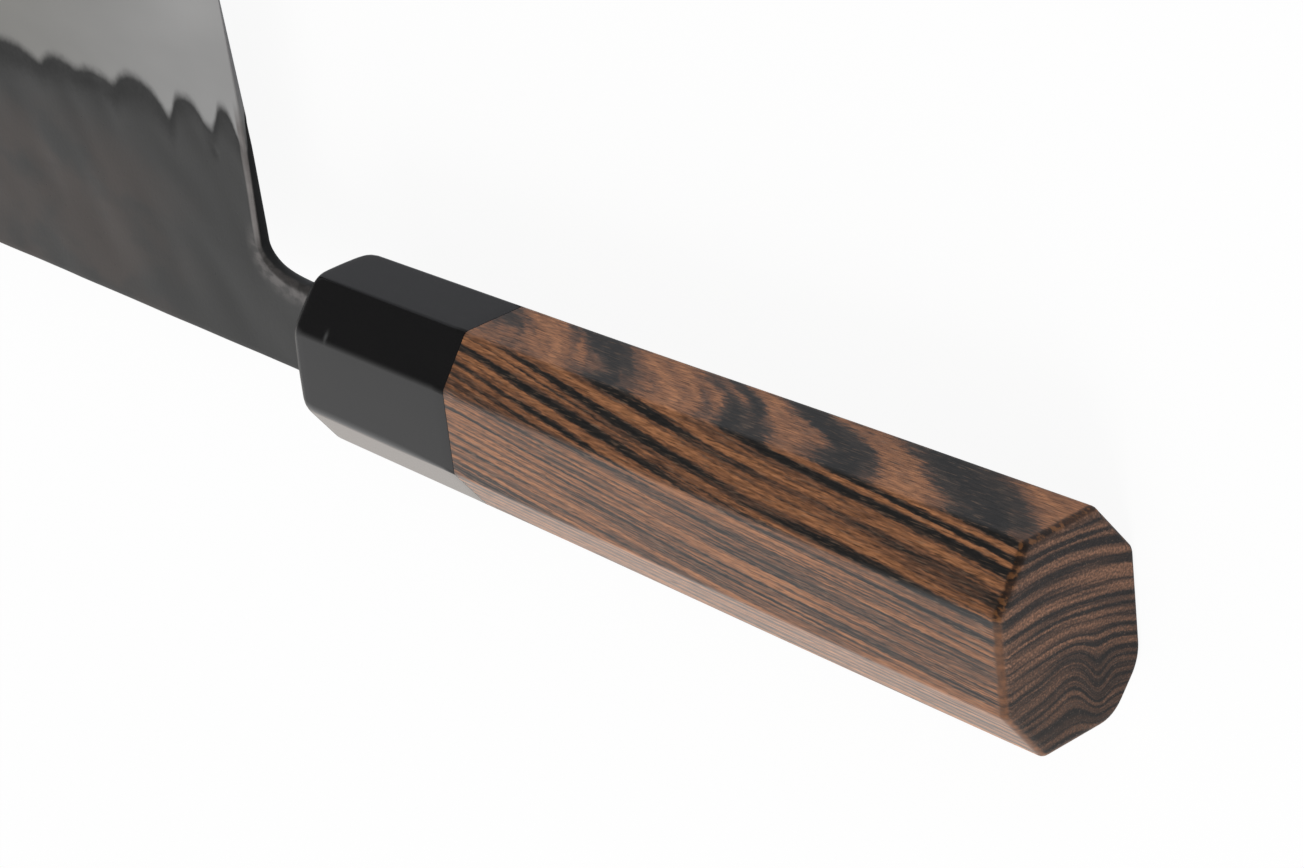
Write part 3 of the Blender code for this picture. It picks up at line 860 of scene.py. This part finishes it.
    def dents(self, x: Array, y: Array, side: Side) -> Array:
        """Hammer marks: bells drawn out along a slant, one under each lobe and more over the flat.

        Args:
            x: distances from the mouth.
            y: offsets from the handle's axis.
            side: which side of the blade.

        Returns:
            Depth of the marks at each point.
        """
        draw, count = np.random.default_rng(self.dent_seed + side.value), self.dent_count
        starts, _, peaks = self.lobes(side)[:3]
        gap = np.diff(starts)
        free_x = draw.uniform(self.tip, 0, count)
        free_y = draw.uniform(-self.spine_offset, self.heel_offset - self.dents_end_above_heel, count)
        depths, slants, sizes = self.dent_spans
        free_depth = self.dent_depth * draw.uniform(*depths, count)
        slant = self.dent_slant + draw.uniform(*slants, count + len(gap))
        along = np.concatenate((free_x, starts[:-1] + self.lobe_dent_along * gap))
        across = np.concatenate((free_y, peaks[:-1] - self.lobe_dent_above))
        depth = np.concatenate((free_depth, np.full(len(gap), self.lobe_dent)))
        size = np.concatenate((draw.uniform(*sizes, count), self.lobe_dent_size * gap))
        cosine, sine = np.cos(slant)[:, None], np.sin(slant)[:, None]
        total = np.zeros(len(x))
        for start in range(0, len(x), CHUNK):
            part = slice(start, start + CHUNK)
            dx, dy = x[part] - along[:, None], y[part] - across[:, None]
            u = (dx * cosine + dy * sine) / (self.dent_length * size[:, None])
            v = (dy * cosine - dx * sine) / (self.dent_width * size[:, None])
            total[part] = (depth[:, None] * np.exp(-0.5 * (u * u + v * v))).sum(0)
        return total

    def half_height(self, x: Array, y: Array, side: Side) -> tuple[Array, Array]:
        """Height of one side over the middle plane, with its hammer marks and step.

        Args:
            x: distances from the mouth.
            y: offsets from the handle's axis.
            side: which side of the blade.

        Returns:
            The heights, and each point's distance inside the skin's lower border.
        """
        inside = self.lobe_line(x, side) - y
        foot = np.minimum(x, -self.foot_setback)
        flat, bevel = self.flat_half(foot, y), self.bevel_half(foot, y)
        skin = smooth(*self.skin_slope, inside)
        marked = self.dents(x, y, side) * smooth(0.0, self.dents_fade, inside)
        blade = bevel + (flat - bevel) * skin - marked
        to_neck = smooth(-self.foot_setback - 1.5, self.neck_start, x)
        neck = self.tang_half(x) - marked * smooth(2, -6, x)
        return blade + (neck - blade) * to_neck, inside

    def grid(self) -> tuple[Array, Array, Array, Array]:
        """Lays out the side's vertices and faces in the blade's plane.

        Returns:
            x and y of each vertex, the quads, and the vertex numbers round the outline.
        """
        seen_from, foot = self.columns_seen_from, -self.foot_setback
        far = np.linspace(self.tip + self.tip_gap, seen_from, self.columns_far, endpoint=False)
        near = np.linspace(seen_from, foot - self.foot_gap, self.columns_seen)
        blade_x = np.concatenate((far, near, [foot]))
        neck_share = (self.choil_foot + self.spine_offset) / (self.heel_offset + self.spine_offset)
        lower = np.concatenate(([0], np.linspace(*self.neck_rows, self.rows_in_neck), [1])) * neck_share
        even = np.linspace(*self.blade_rows, self.rows_above)
        wave = np.sin(TURN * (even - self.crowding_shift)) * np.sin(np.pi * even)
        crowded = even - self.rows_crowding * wave
        rows = np.concatenate((lower, neck_share + (1 - neck_share) * crowded, [1]))
        last, neck_row = len(rows) - 1, len(lower) - 1
        top, bottom = self.spine(blade_x), self.edge(blade_x)
        height = top[:, None] + (bottom - top)[:, None] * rows
        lean = (height - self.heel_lean_from) / (self.heel_offset - self.heel_lean_from)
        lean = np.clip(lean, 0, 1) ** self.heel_lean_power * (self.heel_setback - self.foot_setback)
        lean = lean * smooth(self.heel_lean_start, foot, blade_x)[:, None]
        blade = np.stack((blade_x[:, None] - lean, height), -1)

        on_curve, before_wall, behind_wall = self.neck_columns
        curve_x, curve_y = self.neck_curve(on_curve)
        in_ferrule = np.linspace(self.neck_columns_from, self.mouth_wall, before_wall)
        in_dowel = np.linspace(self.mouth_wall + 6, self.tang_length - 2, behind_wall)
        end = [self.tang_length - 1.0, self.tang_length]
        neck_x = np.concatenate((curve_x[1:], in_ferrule, in_dowel, end))
        middle, tang_end = (self.neck_offset - self.spine_offset) / 2, self.tang_end_height
        half = np.interp(
            neck_x,
            (0, self.mouth_wall, self.tang_length - self.tang_end_taper, self.tang_length),
            (self.neck_offset - middle, self.tang_height / 2, tang_end / 2, tang_end / 4),
        )
        neck_top = np.where(neck_x < 0, self.spine(neck_x), middle - half)
        swell = self.neck_swell * smooth(-1.0, -6.0, neck_x)
        neck_bottom = np.where(neck_x < 0, self.neck_offset + swell, middle + half)
        neck_bottom[: len(curve_y) - 1] = curve_y[1:]
        height = neck_top[:, None] + (neck_bottom - neck_top)[:, None] * lower / neck_share
        neck = np.stack(np.broadcast_arrays(neck_x[:, None], height), -1)
        points = np.concatenate((blade.reshape(-1, 2), neck.reshape(-1, 2)))

        number = np.arange(blade.shape[0] * blade.shape[1]).reshape(blade.shape[:2])
        neck_number = number.size + np.arange(neck.shape[0] * neck.shape[1]).reshape(neck.shape[:2])
        neck_number = np.concatenate((number[-1:, : neck_row + 1], neck_number))
        faces = np.concatenate((grid_faces(number), grid_faces(neck_number)))
        spine_and_tang = (number[:-1, 0], neck_number[:, 0], neck_number[-1, 1:], neck_number[-2:0:-1, -1])
        heel_and_edge = (number[-1, neck_row:last], number[::-1, last], number[0, last - 1 : 0 : -1])
        return points[:, 0], points[:, 1], faces, np.concatenate(spine_and_tang + heel_and_edge)

    def build(self) -> Piece:
        """Builds both sides and the rim that joins them, and stores the zones' distances.

        The rim leaves each side inside the outline, turns down round a quarter of an ellipse to the
        wall, and comes up on the other side the same way. At the cutting edge it runs straight down
        to the edge instead.

        Returns:
            The blade as one closed object.
        """
        x, y, faces, outline = self.grid()
        rim_x, rim_y = x[outline], y[outline]
        inward = outline_turns(np.stack((rim_x, rim_y), 1))[2]
        beside_edge = np.abs(rim_y - self.edge(rim_x)) < self.edge_tolerance
        on_edge = beside_edge & (rim_x < -self.foot_setback)
        on_choil = ~on_edge & (rim_x > -self.heel_setback - 0.1) & (rim_x < 2) & (rim_y > 0)

        half = self.half_height(rim_x, rim_y, Side.RIGHT)[0]
        hollow = smooth(-self.foot_setback, self.hollow_end, rim_x)
        rounding = on_choil * smooth(2.0, -1.0, rim_x)
        room = self.rim_share * (self.edge(rim_x) - self.spine(rim_x))
        plain = np.minimum(np.minimum(self.spine_ease, 0.5 * half), room)
        across, down = np.outer(1 - hollow, self.choil_round).T + np.outer(hollow, self.hollow_round).T
        inset = plain + (half * across - plain) * rounding
        inset = np.where(on_edge, np.minimum(self.honed_width, room), inset)
        fall = plain + (half * down - plain) * rounding
        level_x, level_y = x.copy(), y.copy()
        level_x[outline] += inward[:, 0] * inset
        level_y[outline] += inward[:, 1] * inset
        turns = np.linspace(0, np.pi / 2, self.rim_steps + 1)[1:, None]
        share = turns / (np.pi / 2)
        pull = np.where(on_edge, 1 - share, 1 - np.sin(turns)) * inset
        ring_x, ring_y = rim_x + inward[:, 0] * pull, rim_y + inward[:, 1] * pull
        ring_corner = np.where(on_choil, -share, self.corner_reach)
        levels, rings, skins, ring_skins, ring_corners = [], [], [], [], []
        for side in Side:
            height, inside = self.half_height(level_x, level_y, side)
            top = height[outline]
            depth = np.where(on_edge, (top - self.edge_thickness / 2) * share, fall * (1 - np.cos(turns)))
            ring = np.stack((ring_x, ring_y, side.value * (top - depth)), -1)[:: side.value]
            levels.append(np.stack((level_x, level_y, side.value * height), 1))
            rings.append(ring.reshape(-1, 3))
            skins.append(inside)
            ring_skins.append(np.tile(inside[outline], self.rim_steps))
            ring_corners.append(ring_corner[:: side.value].ravel())
        count, points = len(x), np.concatenate(levels + rings)
        loops = np.arange(2 * count, len(points)).reshape(-1, len(outline))
        band = np.concatenate((outline[None], loops, count + outline[None]))
        rim_faces = grid_faces(np.concatenate((band, band[:, :1]), 1))
        all_faces = np.concatenate((faces, faces[:, ::-1] + count, rim_faces))

        corner = self.distance_to_corner(x, y, rim_x[on_choil], rim_y[on_choil], inset[on_choil])
        corner[outline] = np.where(on_choil, 0.0, corner[outline])
        piece = to_mesh("hammered_blade", points, all_faces, self.mouth)
        add_values(piece, "skin_distance", np.concatenate(skins + ring_skins))
        add_values(piece, "corner_distance", np.concatenate([corner, corner] + ring_corners))
        return piece

    def distance_to_corner(self, x: Array, y: Array, rim_x: Array, rim_y: Array, inset: Array) -> Array:
        """Distance of the side's points from the rounded corner of choil and hollow, up to the reach.

        Args:
            x: distances of the side's points from the mouth.
            y: their offsets from the handle's axis.
            rim_x: distances of the outline's points along choil and hollow.
            rim_y: their offsets.
            inset: how far the rounding reaches in from each of them.

        Returns:
            The distance of each of the side's points.
        """
        near = np.full(len(x), self.corner_reach)
        ahead, behind = self.corner_zone
        close = (x > -self.heel_setback - ahead) & (x < behind)
        gap = np.hypot(x[close][:, None] - rim_x, y[close][:, None] - rim_y) - inset
        near[close] = np.clip(gap.min(1), 0.0, self.corner_reach)
        return near

    def dress(self) -> None:
        """Builds the blade and gives it its finish."""
        piece = self.build()
        flatten_shading(piece)
        nodes = ("blade_core", "cladding_right", "cladding_left")
        finish_piece(piece, Slot.SKIN, ForgedSteel().make(self.mouth), *nodes)


@dataclass
class Handle:
    """Octagonal handle: black ferrule and striped grip, both carried along the handle's axis.

    A section is an octagon whose four sizes change evenly from the front to the butt. Each of its
    corners is a quadratic curve between points on its two facets.
    """

    mouth: Vector
    front_size: Quad = (23.4, 17.9, 11.1, 9.0)
    butt_size: Quad = (26.1, 21.5, 12.3, 10.8)
    front_round: float = 2.2
    front_lean: float = 0.06
    front_dome: float = 0.35
    front_corner_round: tuple[float, ...] = (1.9, 1.2, 0.5, 0.3, 0.3, 0.5, 1.2, 1.9)
    rear_fillet: float = 0.6
    butt_round: float = 1.15
    facet_round: float = 0.55
    lower_facet_round: float = 0.32
    joint_ease: float = 0.06
    socket_radius: float = 6.3
    socket_depth: float = 94.3
    mouth_wall: float = 10.0
    slot_half: Pair = (7.5, 2.7)
    slot_middle: float = -0.3
    slot_power: float = 6.0
    bed_gap: float = 0.04
    bed_hole: Pair = (6.38, 1.6)
    bed_hole_power: float = 14.0
    bed_front: float = 0.35
    bed_sunk: float = 0.8
    bed_skin: Triple = (0.25, 0.5, 0.55)
    bed_rings: int = 6
    bed_skin_power: float = 10.0
    corner_points: int = 9
    facet_points: int = 5
    front_steps: int = 9
    ferrule_rings: int = 14
    ferrule_rings_start: float = 3.5
    rim_steps: int = 7
    grip_rings: int = 30
    grip_rings_end: float = 1.5
    joint_gap: float = 0.02
    butt_rings: Triple = (0.82, 0.55, 0.28)
    far_chamfer_bulge: Pair = (1.7, 0.45)
    far_chamfer_round: float = 2.2
    far_corners: tuple[int, int] = (4, 5)
    top_belly: float = 0.26
    top_belly_span: Pair = (45.0, 105.0)
    bottom_belly: Pair = (0.14, 0.28)
    bottom_belly_span: Pair = (40.0, 105.0)
    front_corner_reach: float = 3.4
    rear_fillet_reach: float = 14.0
    lean_reach: float = 6.0
    dome_below: Pair = (7.5, 11.0)
    joint: float = field(init=False)
    length: float = field(init=False)

    def __post_init__(self) -> None:
        """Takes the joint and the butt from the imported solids."""
        self.joint = (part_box("ferrule")[1].x - self.mouth.x) / MM
        self.length = (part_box("handle_body")[1].x - self.mouth.x) / MM

    def corners(self, x: Array, grip: bool) -> Array:
        """The octagon's eight corners at each distance, with the far chamfer of the grip cut less deep."""
        share = (x / self.length)[:, None]
        sizes = np.array(self.front_size) * (1 - share) + np.array(self.butt_size) * share
        height, width, side, top = sizes.T / 2
        y = np.stack((height, side, -side, -height, -height, -side, side, height), 1)
        z = np.stack((top, width, width, top, -top, -width, -width, -top), 1)
        least, more = self.bottom_belly
        y[:, (0, 7)] += (self.top_belly * smooth(*self.top_belly_span, x))[:, None]
        y[:, (3, 4)] -= (least + more * smooth(*self.bottom_belly_span, x))[:, None]
        if grip:
            swell = smooth(self.joint, self.length, x)
            z[:, self.far_corners[0]] -= self.far_chamfer_bulge[1] * swell
            y[:, self.far_corners[1]] -= self.far_chamfer_bulge[0] * swell
        return np.stack((y, z), -1)

    def section(self, x: Array, inset: Array, grip: bool) -> Array:
        """Rings of the rounded octagon, each drawn in by its inset.

        Args:
            x: distance of each ring from the mouth.
            inset: how far each ring lies inside the handle's facets.
            grip: whether the ring belongs to the wooden grip.

        Returns:
            Rings by points by x, y and z.
        """
        corner = self.corners(x, grip)
        ahead, behind, inward = outline_turns(corner)
        corner = corner + inward * inset[:, None, None]
        reach = np.full((len(x), 8, 1), self.facet_round)
        reach[:, 2] = self.lower_facet_round
        if grip:
            swell = smooth(self.joint, self.length, x)[:, None, None]
            reach[:, self.far_corners] += (self.far_chamfer_round - self.facet_round) * swell
        else:
            near_front = smooth(self.front_corner_reach, 0.0, x)[:, None, None]
            reach += np.array(self.front_corner_round)[:, None] * near_front
            to_rear = smooth(self.joint, self.joint - self.rear_fillet_reach, x)[:, None]
            reach[:, 2] += self.rear_fillet * to_rear
        start, end = corner - behind * reach, corner + ahead * reach
        u = np.linspace(0, 1, self.corner_points)[:, None]
        curve = quadratic(start[:, :, None], corner[:, :, None], end[:, :, None], u)
        following = np.roll(start, -1, axis=1)
        v = np.linspace(0, 1, self.facet_points + 2)[1:-1, None]
        flat = end[:, :, None] + (following - end)[:, :, None] * v
        ring = np.concatenate((curve, flat), 2).reshape(len(x), -1, 2)
        along = np.broadcast_to(x[:, None, None], (*ring.shape[:2], 1))
        return np.concatenate((along, ring), -1)

    def round_ring(self, like: Array, x: float, half: Pair, middle: float = 0.0, power: float = 2.0) -> Array:
        """Ring on a rounded rectangle (|y/a|^p + |z/b|^p = 1), its points at the angles of another's."""
        y, z = like[:, 1] / half[0], like[:, 2] / half[1]
        reach = (np.abs(y) ** power + np.abs(z) ** power) ** (-1 / power)
        return np.stack((np.full(len(y), x), middle + like[:, 1] * reach, like[:, 2] * reach), 1)

    def build_ferrule(self) -> Piece:
        """Closed shell: rounded front, facets, rear face, round socket, and the slot in the mouth's wall."""
        turn, ease = np.linspace(0, np.pi / 2, self.front_steps), self.joint_ease
        flat = np.linspace(self.ferrule_rings_start, self.joint - ease, self.ferrule_rings)
        x = np.concatenate((self.front_round * (1 - np.cos(turn)), flat, [self.joint]))
        inset = np.concatenate((self.front_round * (1 - np.sin(turn)), 0 * flat, [ease]))
        outer = self.section(x, inset, False)
        y, near_front = outer[..., 1], smooth(self.lean_reach, 0.0, outer[..., 0])
        dome = 1 - np.clip(np.abs(outer[..., 2]) / (self.front_size[3] / 2), 0, 1) ** 2
        lean = self.front_lean * np.clip(y, 0, None) - self.front_dome * dome * smooth(*self.dome_below, y)
        outer[..., 0] += lean * near_front
        slot = (self.slot_half, self.slot_middle, self.slot_power)
        circle = (self.socket_radius,) * 2
        socket = [self.round_ring(outer[-1], x, circle) for x in (self.joint, self.mouth_wall)]
        mouth = [self.round_ring(outer[-1], x, *slot) for x in (self.mouth_wall, 0.0)]
        return loop_of_rings("polished_ferrule", np.concatenate((outer, socket, mouth)), self.mouth)

    def build_grip(self) -> Piece:
        """Closed shell: blind socket, front face, facets, rounded rim and the flat butt."""
        turn, ease = np.linspace(0, np.pi / 2, self.rim_steps), self.joint_ease
        start, rim = self.joint + self.joint_gap, self.length - self.butt_round
        flat = np.linspace(start + ease, rim - self.grip_rings_end, self.grip_rings)
        x = np.concatenate(([start], flat, rim + self.butt_round * np.sin(turn)))
        inset = np.concatenate(([ease], 0 * flat, self.butt_round * (1 - np.cos(turn))))
        outer = self.section(x, inset, True)
        circle = (self.socket_radius,) * 2
        socket = [self.round_ring(outer[0], x, circle) for x in (self.socket_depth, start)]
        shrink = np.array(self.butt_rings)[:, None, None]
        face = outer[-1:] * np.array((0, 1, 1)) * shrink + np.array((self.length, 0, 0))
        rings = np.concatenate((socket, outer, face))
        points = np.concatenate((rings.reshape(-1, 3), [(self.socket_depth, 0, 0), (self.length, 0, 0)]))
        around, count = rings.shape[1], len(points) - 2
        bottom = fan_faces(count, np.arange(around), False)
        butt = fan_faces(count + 1, np.arange(count - around, count), True)
        faces = np.concatenate((tube_faces(len(rings), around), bottom, butt))
        return to_mesh("striped_grip", points, faces, self.mouth)

    def build_adhesive(self) -> Piece:
        """Bed of adhesive in the slot, a rounded bar with a hole for the neck and a sunk front skin."""
        like = self.section(np.array([self.joint]), np.array([0.0]), False)[0]
        outer, inner = np.array(self.slot_half) - self.bed_gap, np.array(self.bed_hole)
        bevel, full, ridge = self.bed_skin
        rows = [(self.bed_front, outer - bevel, self.slot_power)]
        rows += [(x, outer, self.slot_power) for x in np.linspace(full, self.mouth_wall, self.bed_rings)]
        rows += [(x, inner, self.bed_hole_power) for x in (self.mouth_wall, self.bed_sunk)]
        rows.append((ridge, (inner + outer) / 2, self.bed_skin_power))
        rings = [self.round_ring(like, x, half, self.slot_middle, power) for x, half, power in rows]
        return loop_of_rings("adhesive_bed", np.stack(rings), self.mouth)

    def dress(self) -> None:
        """Builds the handle's pieces and gives each its finish, the dowel's own solid among them."""
        ferrule, grip = self.build_ferrule(), self.build_grip()
        for piece in (ferrule, grip):
            flatten_shading(piece)
        finish_piece(ferrule, Slot.FERRULE, BlackFerrule().make(self.mouth), "ferrule")
        finish_piece(grip, Slot.GRIP, StripedWood().make(self.mouth), "handle_body")
        finish_piece(self.build_adhesive(), Slot.RESIN, DarkResin().make(self.mouth), "tang_adhesive")
        coat(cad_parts["tang_dowel"], PaleWood().make(self.mouth))


@dataclass(frozen=True)
class Lamp:
    """A square soft lamp that faces the knife from a place in metres from the mouth."""

    name: str
    away: Triple
    size: float
    power: float


@dataclass
class Studio:
    """Camera, soft light and white surroundings, laid out from the ferrule's mouth."""

    mouth: Vector
    camera_place: Triple = (417.4, 221.0, 283.54)
    camera_right: Triple = (0.6588, -0.1075, -0.7446)
    camera_up: Triple = (-0.2596, 0.8964, -0.3592)
    lens: float = 115.74
    sensor: float = 36.0
    key: Lamp = Lamp("key_lamp", (0.9, 1.0, 0.5), 1.1, 10.0)
    fill: Lamp = Lamp("fill_lamp", (0.3, -1.1, 0.9), 1.0, 15.0)
    sky_turn: Pair = (-0.62, 0.35)
    sky_past_edge: float = 0.12
    floor_size: float = 6.0
    floor_albedo: float = 0.86
    floor_roughness: float = 0.9
    # painted reflection: tints of the floor's glow to glossy rays, past the spine and past the edge
    painted_reflection_warmth: Triple = (1.05, 0.99, 0.94)
    painted_reflection_past_edge: Triple = (0.31, 0.315, 0.33)
    floor_turn: float = 0.05
    floor_whiteness: float = 0.93

    def place_camera(self) -> None:
        """Sets the camera at the photograph's place, turn and angle of view."""
        right = Vector(self.camera_right).normalized()
        up = Vector(self.camera_up)
        up = (up - right * up.dot(right)).normalized()
        turn = Matrix((right, up, right.cross(up))).transposed().to_4x4()
        data = bpy.data.cameras.new("photo_camera")
        data.lens, data.sensor_width, data.sensor_fit = self.lens, self.sensor, "HORIZONTAL"
        data.clip_start = 0.01
        camera = bpy.data.objects.new("photo_camera", data)
        camera.matrix_world = Matrix.Translation(self.mouth + Vector(self.camera_place) * MM) @ turn
        bpy.context.scene.collection.objects.link(camera)
        bpy.context.scene.camera = camera

    def add_lamp(self, lamp: Lamp) -> None:
        """Adds a lamp that reflections don't show."""
        data = bpy.data.lights.new(lamp.name, "AREA")
        data.shape, data.size, data.energy = "SQUARE", lamp.size, lamp.power
        light = bpy.data.objects.new(lamp.name, data)
        light.visible_glossy = False
        away = Vector(lamp.away)
        turn = away.to_track_quat("Z", "Y").to_matrix().to_4x4()
        light.matrix_world = Matrix.Translation(self.mouth + away) @ turn
        bpy.context.scene.collection.objects.link(light)

    def surround(self) -> None:
        """World that is white to the camera, and dimmer to the knife past its edge than past its spine."""
        world = bpy.data.worlds.new("studio")
        tree = Tree(world)
        y = tree.split(tree.node("TexCoord", {}).outputs["Generated"])[1]
        seen = tree.node("LightPath", {}).outputs["Is Camera Ray"]
        strength = y.step(*self.sky_turn, 1.0, self.sky_past_edge).max(seen)
        tree.fill(tree.nodes["Background"], {"Color": (1, 1, 1, 1), "Strength": strength})
        bpy.context.scene.world = world

    def floor_paper(self) -> bpy.types.Material:
        """White paper to light; to reflections a painted glow, warm past the spine and dimmer past the edge.
        """
        material = bpy.data.materials.new("floor_paper")
        tree = Tree(material)
        paint = {"Base Color": (self.floor_albedo,) * 3 + (1,), "Roughness": self.floor_roughness}
        paper = tree.fill(tree.nodes["Principled BSDF"], paint | {"Specular IOR Level": 0.0})
        y = tree.split(tree.node("TexCoord", {}).outputs["Object"])[1]
        spine_side = y.step(self.mouth.y, self.mouth.y - self.floor_turn)
        # painted reflection: to glossy rays the floor glows with these tints instead of reflecting light
        glow = tree.value("Emission", {"Color": spine_side.mix(self.painted_reflection_past_edge, self.painted_reflection_warmth)})
        rays = tree.node("LightPath", {}).outputs
        pale = Value(tree, rays["Is Camera Ray"]) * self.floor_whiteness
        shown = tree.value("MixShader", {0: pale, 1: paper.outputs[0], 2: tree.value("Emission", {})})
        look = tree.value("MixShader", {0: rays["Is Glossy Ray"], 1: shown, 2: glow})
        tree.fill(tree.nodes["Material Output"], {"Surface": look})
        return material

    def lay_floor(self) -> None:
        """Lays the plain floor that the knife rests on."""
        half = self.floor_size / 2
        mesh = bpy.data.meshes.new("floor")
        corners = [(-half, -half, 0), (half, -half, 0), (half, half, 0), (-half, half, 0)]
        mesh.from_pydata(corners, [], [(0, 1, 2, 3)])
        floor = bpy.data.objects.new("floor", mesh)
        bpy.context.scene.collection.objects.link(floor)
        floor.data.materials.append(self.floor_paper())

    def build(self) -> None:
        """Sets the whole studio and the plain colour transform."""
        self.place_camera()
        self.add_lamp(self.key)
        self.add_lamp(self.fill)
        self.surround()
        self.lay_floor()
        bpy.context.scene.view_settings.view_transform = "Standard"


def main() -> None:
    """Builds and dresses every piece of the knife, then the studio round it."""
    logging.basicConfig(level=logging.INFO, format="%(message)s")
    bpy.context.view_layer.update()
    mouth = mouth_point()
    Blade(mouth).dress()
    Handle(mouth).dress()
    Studio(mouth).build()


if __name__ == "__main__":
    main()
